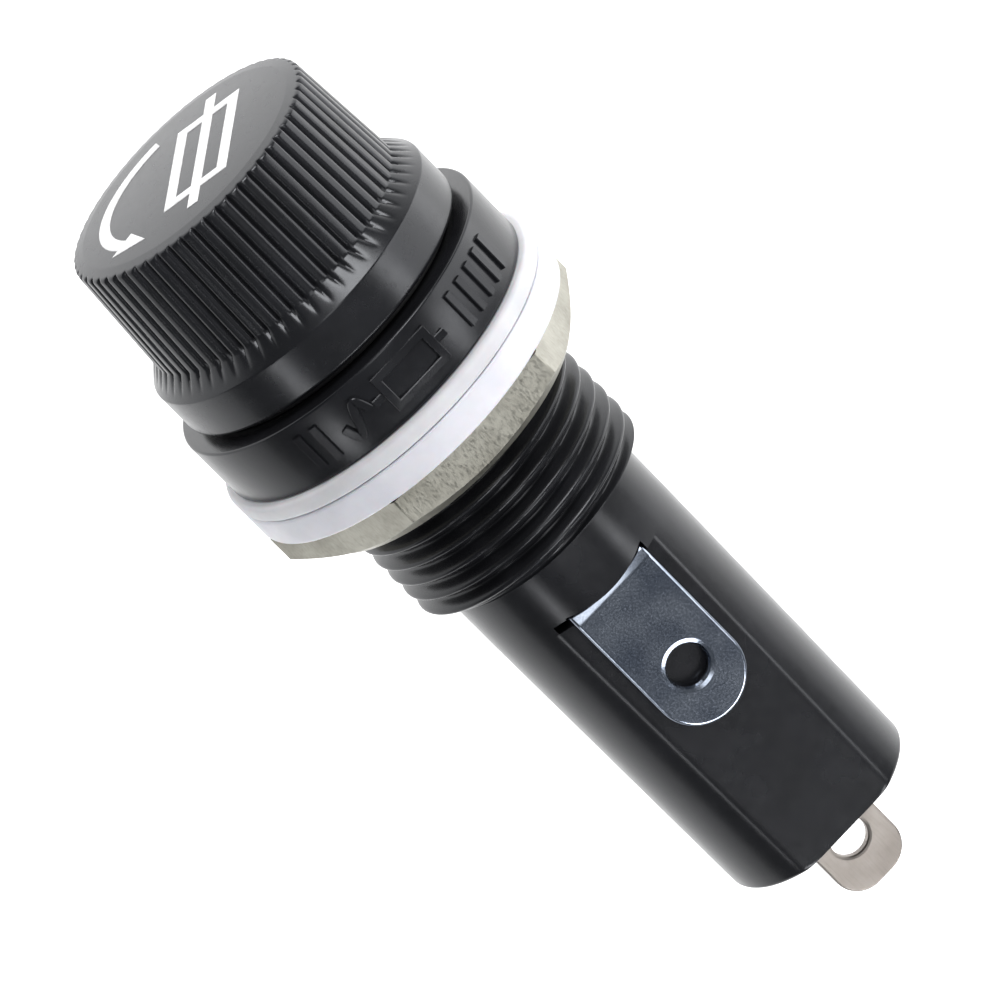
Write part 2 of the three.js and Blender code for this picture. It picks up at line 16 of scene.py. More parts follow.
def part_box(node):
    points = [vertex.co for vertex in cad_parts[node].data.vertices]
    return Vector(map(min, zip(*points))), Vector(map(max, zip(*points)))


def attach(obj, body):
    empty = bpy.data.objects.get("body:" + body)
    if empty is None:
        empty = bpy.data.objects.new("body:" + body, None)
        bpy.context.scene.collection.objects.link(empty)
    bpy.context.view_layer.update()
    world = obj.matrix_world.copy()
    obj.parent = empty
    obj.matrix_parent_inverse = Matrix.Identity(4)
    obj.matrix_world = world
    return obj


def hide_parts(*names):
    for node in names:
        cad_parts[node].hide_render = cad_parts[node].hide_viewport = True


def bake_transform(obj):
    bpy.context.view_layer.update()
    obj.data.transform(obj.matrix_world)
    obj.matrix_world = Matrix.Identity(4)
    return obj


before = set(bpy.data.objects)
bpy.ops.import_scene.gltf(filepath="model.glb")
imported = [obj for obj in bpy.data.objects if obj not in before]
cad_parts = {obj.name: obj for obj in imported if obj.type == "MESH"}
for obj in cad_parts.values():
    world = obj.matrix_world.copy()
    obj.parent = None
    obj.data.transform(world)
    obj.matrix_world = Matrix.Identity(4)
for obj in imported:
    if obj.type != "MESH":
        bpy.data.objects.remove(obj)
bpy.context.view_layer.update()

MM = 0.001
FULL_TURN = 2 * math.pi
SMOOTH_ANGLE = 32


def cad(node):
    """(lowest corner, highest corner) of a CAD node, in millimetres."""
    low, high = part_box(node)
    return np.array(low) / MM, np.array(high) / MM


# ---- Sizes, from the frame and from the way that such a holder is made ----------------------

BODY_LOW, BODY_HIGH = cad("body_moulding")
KNOB_LOW, KNOB_HIGH = cad("cap_knob")
GASKET_LOW, GASKET_HIGH = cad("panel_gasket")
SPACER_LOW, SPACER_HIGH = cad("spacer_washer")
NUT_LOW, NUT_HIGH = cad("hex_nut")
LUG_LOW, LUG_HIGH = cad("side_terminal")
TAIL_LOW, TAIL_HIGH = cad("end_terminal")
SHELL_LOW, SHELL_HIGH = cad("cap_thread_shell")
SLEEVE_LOW, SLEEVE_HIGH = cad("contact_sleeve")
SPRING_LOW, SPRING_HIGH = cad("cap_spring")
PLATE_LOW, PLATE_HIGH = cad("spring_plate")
GLASS_LOW, GLASS_HIGH = cad("fuse_glass_tube")

FLANGE_RADIUS = 8.5
FLANGE_FRONT = BODY_LOW[1]
THREAD_RADIUS = 6.35
THREAD_PITCH = 1.0
THREAD_DEPTH = 0.61
THREAD_END = 10.5
THREAD_START = -0.2
THREAD_CREST = 0.16
BARREL_RADIUS = 5.24
BARREL_TIP_RADIUS = 5.1
BARREL_END = BODY_HIGH[1]
BARREL_EDGE = 0.25
FLAT_HEIGHT = 4.3
FLAT_BLEND = 0.2
SLOT_FRONT = 13.15
SLOT_BACK = 13.82
SLOT_HALF = 2.4
SLOT_FLOOR = 2
SLOT_LEAN = 0.66
SLOT_LEAD = 0.2
NOTCH_X = 3.05
NOTCH_FRONT = 13.4
SLEEVE_BORE = 4.55
FUSE_BORE = 3.495
BORE_END = 28.27
CAP_FRONT = KNOB_LOW[1]
CAP_BACK = KNOB_HIGH[1]
CAP_FACE = CAP_FRONT + 0.03
FACE_RADIUS = 5.9
KNURL_FRONT_RADIUS = 6.65
KNURL_BACK_RADIUS = 7.02
KNURL_RIBS = 60
KNURL_DEPTH = 0.22
COLLAR_RADIUS = 7.86
COLLAR_CONE_FRONT = -6.76
COLLAR_CONE_BACK = -5.78
CONTACT_PITCH = 1.5
WASHER_BORE = 6.5
NUT_ACROSS_FLATS = 15.5
NUT_TURN = math.radians(-1.5)
SIGN_LAP = 0.006  # how much lower a stroke lies where it meets another


# ---- Mesh making ----------------------------------------------------------------------------


def mesh_piece(name, points, faces, smooth=SMOOTH_ANGLE):
    """A mesh object in metres, smooth except at edges sharper than the angle given."""
    mesh = bpy.data.meshes.new(name)
    mesh.from_pydata((np.asarray(points) * MM).tolist(), [], faces)
    mesh.validate()
    obj = bpy.data.objects.new(name, mesh)
    bpy.context.scene.collection.objects.link(obj)
    shade(obj, smooth)
    return obj


def shade(obj, smooth=SMOOTH_ANGLE):
    """Smooth shading, but large flat faces keep one normal so that nothing warps across them."""
    obj.data.shade_smooth()
    obj.data.set_sharp_from_angle(angle=math.radians(smooth))
    large = (1.0 * MM) ** 2
    for polygon in obj.data.polygons:
        if len(polygon.vertices) > 4 and polygon.area > large:
            polygon.use_smooth = False


def rounded(corners, closed=False, steps=5):
    """A path through (a, b, fillet) corners, with an arc at each corner that has a fillet."""
    path = []
    count = len(corners)
    for i, corner in enumerate(corners):
        here = np.array(corner[:2], float)
        fillet = corner[2] if len(corner) > 2 else 0
        if not fillet or (not closed and i in (0, count - 1)):
            path.append(here)
            continue
        back = np.array(corners[i - 1][:2], float) - here
        ahead = np.array(corners[(i + 1) % count][:2], float) - here
        back /= np.linalg.norm(back)
        ahead /= np.linalg.norm(ahead)
        half = math.acos(np.clip(back @ ahead, -1, 1)) / 2
        middle = (back + ahead) / np.linalg.norm(back + ahead)
        centre = here + middle * fillet / math.sin(half)
        start = here + back * fillet / math.tan(half) - centre
        end = here + ahead * fillet / math.tan(half) - centre
        sweep = math.atan2(start[0] * end[1] - start[1] * end[0], start @ end)
        for t in np.linspace(0, sweep, steps + 1):
            turn = np.array([[math.cos(t), -math.sin(t)], [math.sin(t), math.cos(t)]])
            path.append(centre + turn @ start)
    return path


def dense(path, low, high, step):
    """The path with extra points wherever a stretch lies between low and high along Y."""
    fine = [path[0]]
    for a, b in zip(path, path[1:]):
        inside = min(a[1], b[1]) < high and max(a[1], b[1]) > low
        parts = max(1, math.ceil(np.linalg.norm(b - a) / step)) if inside else 1
        fine += [a + (b - a) * k / parts for k in range(1, parts + 1)]
    return fine


def turned_points(path, columns, radius_at=None):
    """Rings of points round Y, one for each (radius, y) of the path."""
    angles = np.arange(columns) * FULL_TURN / columns
    path = np.array(path)
    radius = np.repeat(path[:, :1], columns, axis=1)
    y = np.repeat(path[:, 1:2], columns, axis=1)
    if radius_at:
        radius = radius_at(angles[None, :], y, radius)
    return np.stack([radius * np.sin(angles), y, radius * np.cos(angles)], axis=2)


def grid_piece(name, rings, wrap=False, smooth=SMOOTH_ANGLE):
    """A closed skin through rings of points: capped at both ends, or joined end to start."""
    rows, columns = rings.shape[:2]
    index = np.arange(rows * columns).reshape(rows, columns)
    if wrap:
        index = np.vstack([index, index[:1]])
    a, d = index[:-1], index[1:]
    b, c = np.roll(a, -1, axis=1), np.roll(d, -1, axis=1)
    faces = np.stack([a, b, c, d], axis=2).reshape(-1, 4).tolist()
    if not wrap:
        faces += [index[0, ::-1].tolist(), index[-1].tolist()]
    return mesh_piece(name, rings.reshape(-1, 3), faces, smooth)


def turned(name, path, columns=128, wrap=False, radius_at=None, smooth=SMOOTH_ANGLE):
    """A closed skin made by turning a path round Y."""
    return grid_piece(name, turned_points(path, columns, radius_at), wrap, smooth)


def boolean(obj, cutter, operation="DIFFERENCE"):
    """Cuts obj by cutter, or keeps what they share, and removes the cutter."""
    modifier = obj.modifiers.new("cut", "BOOLEAN")
    modifier.operation = operation
    modifier.solver = "EXACT"
    modifier.object = cutter
    keep_result(obj)
    bpy.data.objects.remove(cutter)
    shade(obj)
    return obj


def keep_result(obj):
    """Turns obj's modifiers into its mesh."""
    depsgraph = bpy.context.evaluated_depsgraph_get()
    mesh = bpy.data.meshes.new_from_object(obj.evaluated_get(depsgraph))
    obj.modifiers.clear()
    obj.data = mesh


def bevel(obj, width, angle=35, segments=3):
    """Rounds the edges of obj that are sharper than the angle given."""
    modifier = obj.modifiers.new("edges", "BEVEL")
    modifier.width = width * MM
    modifier.segments = segments
    modifier.limit_method = "ANGLE"
    modifier.angle_limit = math.radians(angle)
    keep_result(obj)
    shade(obj)
    return obj


def block(name, low, high):
    """A box between two corners, used as a cutter or as a hidden plain part."""
    ends = list(zip(low, high))
    corners = [(x, y, z) for z in ends[2] for y in ends[1] for x in ends[0]]
    faces = [(0, 2, 3, 1), (4, 5, 7, 6), (0, 1, 5, 4), (2, 6, 7, 3), (0, 4, 6, 2), (1, 3, 7, 5)]
    return mesh_piece(name, corners, faces)


def edge_levels(low, high, edge):
    """(inset, height) of the rings of a plate whose upper and lower edges are quarter rounds."""
    turns = np.linspace(0, math.pi / 2, 6)
    lower = [(edge * (1 - math.sin(t)), low + edge * (1 - math.cos(t))) for t in turns]
    upper = [(edge * (1 - math.cos(t)), high - edge * (1 - math.sin(t))) for t in turns]
    return lower + upper


def plate(name, outline, low, high, edge):
    """A sheet with rounded edges: outline is (x, y) anticlockwise, its faces are at low and high."""
    outline = np.array(outline)
    ahead = np.roll(outline, -1, axis=0) - outline
    ahead /= np.linalg.norm(ahead, axis=1)[:, None]
    behind = np.roll(ahead, 1, axis=0)
    inward = np.stack([-(ahead + behind)[:, 1], (ahead + behind)[:, 0]], axis=1)
    inward /= (inward**2).sum(axis=1)[:, None] / 2
    rings = []
    for inset, height in edge_levels(low, high, edge):
        ring = outline + inward * inset
        rings.append(np.column_stack([ring, np.full(len(ring), height)]))
    return grid_piece(name, np.array(rings))


def arc(centre, radius, start, end, steps=24):
    """Points along an arc, from one angle in degrees to another."""
    angles = np.linspace(math.radians(start), math.radians(end), steps + 1)
    return [(centre[0] + radius * math.cos(t), centre[1] + radius * math.sin(t)) for t in angles]


def join(name, objects):
    """One object out of several, by joining their meshes."""
    points, faces = [], []
    for obj in objects:
        start = len(points)
        points += [np.array(v.co) / MM for v in obj.data.vertices]
        faces += [[start + v for v in p.vertices] for p in obj.data.polygons]
        bpy.data.objects.remove(obj)
    return mesh_piece(name, points, faces)


def map_points(obj, place):
    """Moves each vertex of obj to place(x, y, z), in millimetres."""
    for vertex in obj.data.vertices:
        vertex.co = Vector(place(*(np.array(vertex.co) / MM))) * MM
    obj.data.update()
    return obj


# ---- Body moulding --------------------------------------------------------------------------


def thread_radius(angles, y, pitch, start, crest, depth, crest_width):
    """Radius of a right-hand screw thread with 60 degree flanks and softened corners."""
    turn = (y - start) / pitch - angles / FULL_TURN
    off_crest = np.abs(turn - np.round(turn)) * pitch
    drop = (off_crest - crest_width / 2) * math.sqrt(3)
    soft = depth / 5
    drop = (drop + np.sqrt(drop**2 + soft**2)) / 2
    left = depth - drop
    return crest - depth + (left + np.sqrt(left**2 + soft**2)) / 2


def soft_min(a, b, soft):
    """The lesser of a and b, rounded off only where they differ by less than soft."""
    near = np.maximum(soft - np.abs(a - b), 0) / soft
    return np.minimum(a, b) - near**2 * soft / 4


def body_radius(angles, y, radius):
    """The envelope, cut by the thread, and by the flat behind the slot."""
    thread = thread_radius(angles, y, THREAD_PITCH, THREAD_START, THREAD_RADIUS, THREAD_DEPTH, THREAD_CREST)
    share = (radius - BARREL_RADIUS) / (THREAD_RADIUS - BARREL_RADIUS)
    in_thread = (y > 0) & (y < THREAD_END + 0.01) & (share > 0)
    radius = np.where(in_thread, BARREL_RADIUS + share * (thread - BARREL_RADIUS), radius)
    facing = np.cos(angles)
    flat = np.where(facing > 0.2, FLAT_HEIGHT / np.maximum(facing, 0.2), 99)
    on_flat = (y > SLOT_BACK + 0.005) & (radius > FUSE_BORE + 0.01)
    return np.where(on_flat, soft_min(radius, flat, FLAT_BLEND), radius)


def body_moulding():
    inner = rounded([
        (FUSE_BORE, BORE_END),
        (FUSE_BORE, SLOT_BACK),
        (SLEEVE_BORE, SLOT_BACK),
        (SLEEVE_BORE, FLANGE_FRONT, 0.15),
        (FLANGE_RADIUS, FLANGE_FRONT, 0.12),
        (FLANGE_RADIUS, 0, 0.12),
        (THREAD_RADIUS, 0.0),
    ])
    envelope = rounded([
        (THREAD_RADIUS, 0.02),
        (THREAD_RADIUS, THREAD_END, 0.08),
        (BARREL_RADIUS, THREAD_END, 0.1),
        (BARREL_RADIUS, SLOT_BACK - 0.08),
        (BARREL_RADIUS, SLOT_BACK),
        (BARREL_RADIUS, SLOT_BACK + 0.01),
        (BARREL_RADIUS, SLOT_BACK + 0.09),
        (BARREL_TIP_RADIUS, BARREL_END, BARREL_EDGE),
        (0.5, BARREL_END),
    ], steps=8)
    fine = dense(envelope, 0, THREAD_END, 0.045)
    outside = dense(fine, SLOT_BACK, BARREL_END, 0.8)
    body = turned("body_moulding_skin", inner + outside, 192, radius_at=body_radius)
    boolean(body, side_slot())
    clear_of_barrel = 8
    notch_low = (SLOT_HALF - 0.05, NOTCH_FRONT, SLOT_FLOOR)
    notch = block("notch", notch_low, (NOTCH_X, SLOT_BACK - 0.002, clear_of_barrel))
    return boolean(body, notch)


def side_slot():
    """Cutter for the slot: its front wall leans back, its rear edge clears the strip's bend."""
    mouth = math.sqrt(BARREL_RADIUS**2 - SLOT_HALF**2)
    lean_start = mouth - 0.15 / SLOT_LEAN
    top = BARREL_RADIUS + 0.1
    back = SLOT_BACK + SLOT_LEAD
    outline = [
        (SLOT_FRONT, SLOT_FLOOR),
        (SLOT_BACK, SLOT_FLOOR),
        (SLOT_BACK, FLAT_HEIGHT - SLOT_LEAD),
        (back, FLAT_HEIGHT),
        (back, top),
        (SLOT_FRONT + SLOT_LEAN * (top - lean_start), top),
        (SLOT_FRONT, lean_start),
    ]
    rings = [[(x, y, z) for y, z in outline] for x in (-SLOT_HALF, SLOT_HALF)]
    return grid_piece("slot", np.array(rings))


def ribbon(name, path, half, low, high, edge=0.04, closed=False):
    """A raised bead that follows a path of (u, v) points and stands from low to high."""
    path = np.array(path, float)
    ahead = np.roll(path, -1, axis=0) - path
    behind = path - np.roll(path, 1, axis=0)
    if not closed:
        ahead[-1], behind[0] = behind[-1], ahead[0]
    ahead /= np.linalg.norm(ahead, axis=1)[:, None]
    behind /= np.linalg.norm(behind, axis=1)[:, None]
    side = np.stack([(ahead + behind)[:, 1], -(ahead + behind)[:, 0]], axis=1)
    side /= (side**2).sum(axis=1)[:, None] / 2
    section = [(half, low), (half, high - edge), (half - edge, high)]
    section += [(-half + edge, high), (-half, high - edge), (-half, low)]
    rings = [[(*(p + s * off), height) for off, height in section] for p, s in zip(path, side)]
    return grid_piece(name, np.array(rings), wrap=closed)


def fuse_symbol(centre, length, height, half, low, high):
    """Generic fuse sign: a frame with a line through it and a lead at each end."""
    u, v = centre
    box, tall = 0.33 * length, height / 2
    frame_path = [(u - box, v - tall), (u + box, v - tall), (u + box, v + tall), (u - box, v + tall)]
    line_path = [(u - length / 2, v), (u + length / 2, v)]
    return [
        ribbon("sign_frame", frame_path, half, low, high, closed=True),
        ribbon("sign_line", line_path, half, low, high - SIGN_LAP),
    ]


def flange_relief():
    """Raised generic signs on the flange: fuse, alternating current and a row of bars."""
    half, low, high = 0.2, -0.08, 0.16
    middle = FLANGE_FRONT / 2
    wave_centre, wave_size, bar_half = 2.9, 0.75, 0.95
    wave = [(wave_centre + wave_size * t, middle + wave_size * math.sin(math.pi * t))
            for t in np.linspace(-1, 1, 25)]
    signs = fuse_symbol((-0.3, middle), 4.4, 1.6, half, low, high)
    signs.append(ribbon("wave", wave, half, low, high))
    for u in (-7.4, -6.5, -5.6, -4.7, -3.8, 4.7, 5.6):
        signs.append(ribbon("bar", [(u, middle - bar_half), (u, middle + bar_half)], half, low, high))
    relief = join("flange_signs", signs)

    def wrap(u, v, height):
        angle = u / FLANGE_RADIUS
        radius = FLANGE_RADIUS + height
        return radius * math.sin(angle), v, radius * math.cos(angle)

    return map_points(relief, wrap)


# ---- Washers and nut ------------------------------------------------------------------------


def washer(name, low, high, bore, edge):
    """A ring that fills the box from low to high, with its outer edges rounded."""
    outer = high[0]
    corners = [(bore, high[1]), (bore, low[1]), (outer, low[1], edge), (outer, high[1], edge)]
    return turned(name, rounded(corners, closed=True), 160, wrap=True)


def hex_nut():
    """Hexagon nut whose corners are turned off, chamfered at the rear only, with a true thread."""
    apothem = NUT_ACROSS_FLATS / 2
    corner = apothem / math.cos(math.pi / 6)
    turned_corner = corner - 0.03
    front, back = NUT_LOW[1], NUT_HIGH[1]
    angles = [NUT_TURN + (i + 0.5) * math.pi / 3 for i in range(6)]
    rings = [[(corner * math.sin(t), y, corner * math.cos(t)) for t in angles] for y in (front, back)]
    nut = grid_piece("hex_nut_skin", np.array(rings))
    corner_drop, flat_drop, face_inset, past = 0.97, 0.33, 0.36, 0.01
    chamfer = [
        (0.5, front - past),
        (turned_corner, front - past),
        (turned_corner, back - corner_drop),
        (apothem, back - flat_drop),
        (apothem - face_inset, back + past),
        (0.5, back + past),
    ]
    boolean(nut, turned("chamfer", chamfer, 128), "INTERSECT")
    bevel(nut, 0.07, angle=15, segments=2)

    def tapped(angles, y, radius):
        crest = THREAD_RADIUS + 0.1
        return thread_radius(angles, y, THREAD_PITCH, THREAD_START, crest, THREAD_DEPTH, THREAD_CREST)

    tap_radius, tap_front, tap_back = 6.4, front - 1, back + 1
    path = [np.array((tap_radius, tap_front)), np.array((tap_radius, tap_back))]
    tap = dense(path, tap_front, tap_back, 0.08)
    return boolean(nut, turned("tap", tap, 128, radius_at=tapped))


# ---- Terminals ------------------------------------------------------------------------------


def countersink(centre, radius, low, high, rim=0.2):
    """Cutter for a hole along Z whose upper and lower edges are rounded over."""
    deep = 0.65 * rim
    path = [(radius + rim, low - 0.2), (radius + rim, low), (radius + 0.35 * rim, low + 0.25 * deep)]
    path += [(radius, low + deep), (radius, high - deep)]
    path += [(radius + 0.35 * rim, high - 0.25 * deep), (radius + rim, high), (radius + rim, high + 0.2)]
    cutter = turned("hole", path, 64)
    return map_points(cutter, lambda x, y, z: (centre[0] + x, centre[1] - z, y))


def side_terminal():
    """A strip that rises through the slot and is bent over to lie along the flat."""
    sheet, inner_bend, riser_bottom = 0.5, 0.35, LUG_LOW[2]
    half = LUG_HIGH[0]
    top, end, front = LUG_HIGH[2], LUG_HIGH[1], LUG_LOW[1]
    bend_radius = inner_bend + sheet / 2
    bend_y = front + sheet + inner_bend
    bend_length = bend_radius * math.pi / 2
    rise = top - sheet - inner_bend - riser_bottom
    start = bend_y - bend_length - rise
    outline = [(-half, start), (half, start)] + arc((0, end - half), half, 0, 180, 32)
    strip = plate("side_terminal_skin", outline, -sheet / 2, sheet / 2, 0.15)
    slices = np.linspace(bend_y - bend_length, bend_y, 9)
    cut_across(strip, list(slices) + [start + 0.2])
    middle = top - sheet / 2

    def bend(x, y, z):
        before = bend_y - y
        if before <= 0:
            return x, y, middle + z
        turn = min(before / bend_radius, math.pi / 2)
        radius = bend_radius + z
        down = max(0, before - bend_length)
        return x, bend_y - radius * math.sin(turn), middle - bend_radius + radius * math.cos(turn) - down

    map_points(strip, bend)
    hole_radius, hole_to_end = 1.0, 3.05
    boolean(strip, countersink((0, end - hole_to_end), hole_radius, top - sheet, top, 0.27))
    return strip


def cut_across(obj, places):
    """Adds an edge loop across obj at each place along Y, so that it can bend there."""
    work = bmesh.new()
    work.from_mesh(obj.data)
    for y in places:
        everything = work.verts[:] + work.edges[:] + work.faces[:]
        bmesh.ops.bisect_plane(work, geom=everything, plane_co=(0, y * MM, 0), plane_no=(0, 1, 0))
    work.to_mesh(obj.data)
    work.free()


def end_terminal():
    """The blade that shows, and the stem and ears that hold it inside the barrel."""
    half, thick, corner = 3.75 / 2, 0.56 / 2, 1.45
    hole_y, hole_radius = 32.85, 0.95
    stem_half, stem_thick, ear_half = 1.3, 0.25, 2.1
    end = TAIL_HIGH[1]
    shoulder = BARREL_END + 0.02
    outline = [(-half, shoulder), (half, shoulder)]
    outline += arc((half - corner, end - corner), corner, 0, 90, 12)
    outline += arc((corner - half, end - corner), corner, 90, 180, 12)
    blade = plate("blade", outline, -thick, thick, 0.09)
    boolean(blade, countersink((0, hole_y), hole_radius, -thick, thick, 0.16))
    root = TAIL_LOW[1]
    stem = block("stem", (-stem_half, root + 0.3, -stem_thick), (stem_half, shoulder + 0.3, stem_thick))
    ears = block("ears", (-stem_half, root, -ear_half), (stem_half, root + 0.4, ear_half))
    return join("end_terminal_skin", [blade, stem, bevel(ears, 0.08)])


# ---- Cap ------------------------------------------------------------------------------------


def knob_radius(angles, y, radius):
    """Thin straight grooves between wide ribs; their floors run out at the face and on the cone."""
    along = np.clip((y - CAP_FRONT) / (COLLAR_CONE_FRONT - CAP_FRONT), 0, 1)
    crest = KNURL_FRONT_RADIUS + (KNURL_BACK_RADIUS - KNURL_FRONT_RADIUS) * along
    run_out_depth, run_out_slope, run_out_length = 0.3, 1.06, 0.14
    run_out = KNURL_BACK_RADIUS - run_out_depth + run_out_slope * (y - COLLAR_CONE_FRONT + run_out_length)
    floor = np.maximum(crest - KNURL_DEPTH, run_out)
    deep = np.where(y < COLLAR_CONE_BACK, np.clip(radius - floor, 0, 1), 0)
    groove = (1 - np.abs(np.sin(angles * KNURL_RIBS / 2))) ** 2
    return np.where(radius > FACE_RADIUS, radius - deep * groove, radius)


def cap_knob():
    inner_radius, recess_end = 3.65, -10.85
    path = rounded([
        (0.5, CAP_FACE),
        (FACE_RADIUS, CAP_FACE),
        (KNURL_FRONT_RADIUS - 0.01, CAP_FACE + 0.12, 0.22),
        (KNURL_BACK_RADIUS, COLLAR_CONE_FRONT),
        (COLLAR_RADIUS, COLLAR_CONE_BACK, 0.12),
        (COLLAR_RADIUS, CAP_BACK, 0.22),
        (inner_radius, CAP_BACK, 0.1),
        (inner_radius, recess_end),
        (0.5, recess_end),
    ], steps=8)
    fine = dense(path, CAP_FACE + 0.01, COLLAR_CONE_BACK + 0.1, 0.1)
    return turned("cap_knob_skin", fine, KNURL_RIBS * 12, radius_at=knob_radius, smooth=50)


def face_print():
    """White printed fuse sign and an arrow that shows which way the cap unscrews."""
    low, high = -0.02, 0.025
    tilt, centre = math.radians(62), (-1.05, 0.2)
    stroke = 0.33
    signs = fuse_symbol((0, 0), 9.5, 3.0, stroke, low, high)

    def turn(u, v, height):
        x = centre[0] + u * math.cos(tilt) - v * math.sin(tilt)
        z = centre[1] + u * math.sin(tilt) + v * math.cos(tilt)
        return x, z, height

    for sign in signs:
        map_points(sign, turn)
    radius, tail, head_start, head_end, wing = 4.65, -92, 18, 40, 0.72
    signs.append(ribbon("arrow", arc((0, 0), radius, tail, head_start + 2, 40), stroke, low, high))
    base, tip = math.radians(head_start), math.radians(head_end)
    head = [(radius * math.cos(tip), radius * math.sin(tip))]
    head += [(r * math.cos(base), r * math.sin(base)) for r in (radius - wing, radius + wing)]
    signs.append(plate("head", head, low, high - SIGN_LAP, 0.02))
    print_piece = join("cap_face_print", signs)
    return map_points(print_piece, lambda u, v, height: (u, CAP_FACE - height, v))


def cap_seal():
    low, high = cad("cap_seal")
    return washer("cap_seal_skin", low, high, 5.2, 0.12)


def ridge_radius(crest, height, start, first, last, outward):
    """Radius of a rolled thread ridge between two places along Y."""

    def radius_at(angles, y, radius):
        turn = (y - start) / CONTACT_PITCH - angles / FULL_TURN
        off = np.abs(turn - np.round(turn)) * CONTACT_PITCH
        bump = np.clip(0.5 + 0.5 * np.cos(np.pi * np.clip(off / 0.46, 0, 1)), 0, 1)
        ends = np.clip((y - first) / 0.3, 0, 1) * np.clip((last - y) / 0.3, 0, 1)
        wall = crest - height if outward else crest + height
        on_wall = np.abs(radius - wall) < 0.01
        return np.where(on_wall, radius + (height if outward else -height) * bump * ends, radius)

    return radius_at


def cap_thread_shell():
    outer, wall = 3.6, 0.3
    front, back = SHELL_LOW[1], SHELL_HIGH[1]
    path = rounded([
        (0.4, front + wall),
        (outer - wall, front + wall, 0.12),
        (outer - wall, back),
        (outer - 0.02, back),
        (outer, back - 0.05),
        (outer, front, 0.35),
        (0.4, front),
    ][::-1])
    ridge = ridge_radius(4.0, 0.4, -2.5, -2.9, 0.55, True)
    shell = turned("cap_thread_shell_skin", dense(path, -3.2, 1.0, 0.06), 128, radius_at=ridge)
    boolean(shell, block("slit_x", (-5, 1.1, -0.35), (5, back + 1, 0.35)))
    return boolean(shell, block("slit_z", (-0.35, 1.1, -5), (0.35, back + 1, 5)))


def contact_sleeve():
    outer, wall = 4.5, 0.4
    front, back = SLEEVE_LOW[1], SLEEVE_HIGH[1]
    path = rounded([
        (outer, back),
        (outer - wall, back),
        (outer - wall, front, 0.12),
        (outer, front, 0.12),
    ], closed=True)
    ridge = ridge_radius(3.7, 0.4, -1.75, -2.4, 2.1, False)
    path.append(path[0])
    fine = dense(path, -3, 2.4, 0.06)[:-1]
    return turned("contact_sleeve_skin", fine, 128, wrap=True, radius_at=ridge)


def cap_spring():
    """Coil spring of round wire, with its end turns closed and flat."""
    wire, radius, turns, sides = 0.25, 2.55, 5.5, 12
    low, high = SPRING_LOW[1] + wire, SPRING_HIGH[1] - wire
    closed, closed_rise = 0.8 / turns, 2.1 * wire
    rings = []
    for t in np.linspace(0, 1, int(turns * 36) + 1):
        angle = FULL_TURN * turns * t
        along = np.clip((t - closed) / (1 - 2 * closed), 0, 1)
        y = low + closed_rise * (min(t, closed) + max(0, t - 1 + closed)) / (2 * closed)
        y += (high - low - closed_rise) * along
        centre = np.array([radius * math.sin(angle), y, radius * math.cos(angle)])
        out = np.array([math.sin(angle), 0, math.cos(angle)])
        ring = [centre + wire * (out * math.cos(a) - np.array([0, 1, 0]) * math.sin(a))
                for a in np.arange(sides) * FULL_TURN / sides]
        rings.append(ring)
    return grid_piece("cap_spring_wire", np.array(rings))


def spring_plate():
    front, back = PLATE_LOW[1], PLATE_HIGH[1]
    path = rounded([
        (0.3, front), (1.6, front, 0.2), (2.0, front + 0.9, 0.1),
        (3.05, front + 0.9, 0.12), (3.05, back, 0.12), (0.3, back),
    ])
    return turned("spring_plate_skin", path, 96)


# ---- Fuse -----------------------------------------------------------------------------------


def fuse_cap(name, node, closed_at_front):
    """Pressed end cap of the fuse, with a shallow groove that grips the glass."""
    low, high = cad(node)
    front, back = low[1], high[1]
    wall, outer = 0.28, 3.175
    length = back - front
    path = rounded([
        (0.4, wall), (outer - wall, wall), (outer - wall, length, 0.05), (outer, length, 0.1),
        (outer, length - 0.9, 0.3), (outer - 0.03, length - 1.05, 0.3), (outer, length - 1.2, 0.3),
        (outer, 0, 0.35), (0.4, 0),
    ])
    if closed_at_front:
        placed = [np.array((r, front + a)) for r, a in path[::-1]]
    else:
        placed = [np.array((r, back - a)) for r, a in path]
    return turned(name, placed, 96)


def fuse_glass():
    front, back = GLASS_LOW[1], GLASS_HIGH[1]
    outer, wall = 2.845, 0.6
    lip, inner = 0.15, outer - wall
    corners = [(inner, back, lip), (inner, front, lip), (outer, front, lip), (outer, back, lip)]
    return turned("fuse_glass_skin", rounded(corners, closed=True), 96, wrap=True)


def fuse_wire():
    low, high = cad("fuse_element")
    rings = [(0.06, low[1]), (0.16, low[1] + 0.1), (0.16, high[1] - 0.1), (0.06, high[1])]
    return turned("fuse_wire", [np.array(r) for r in rings], 16)


# ---- Materials ------------------------------------------------------------------------------


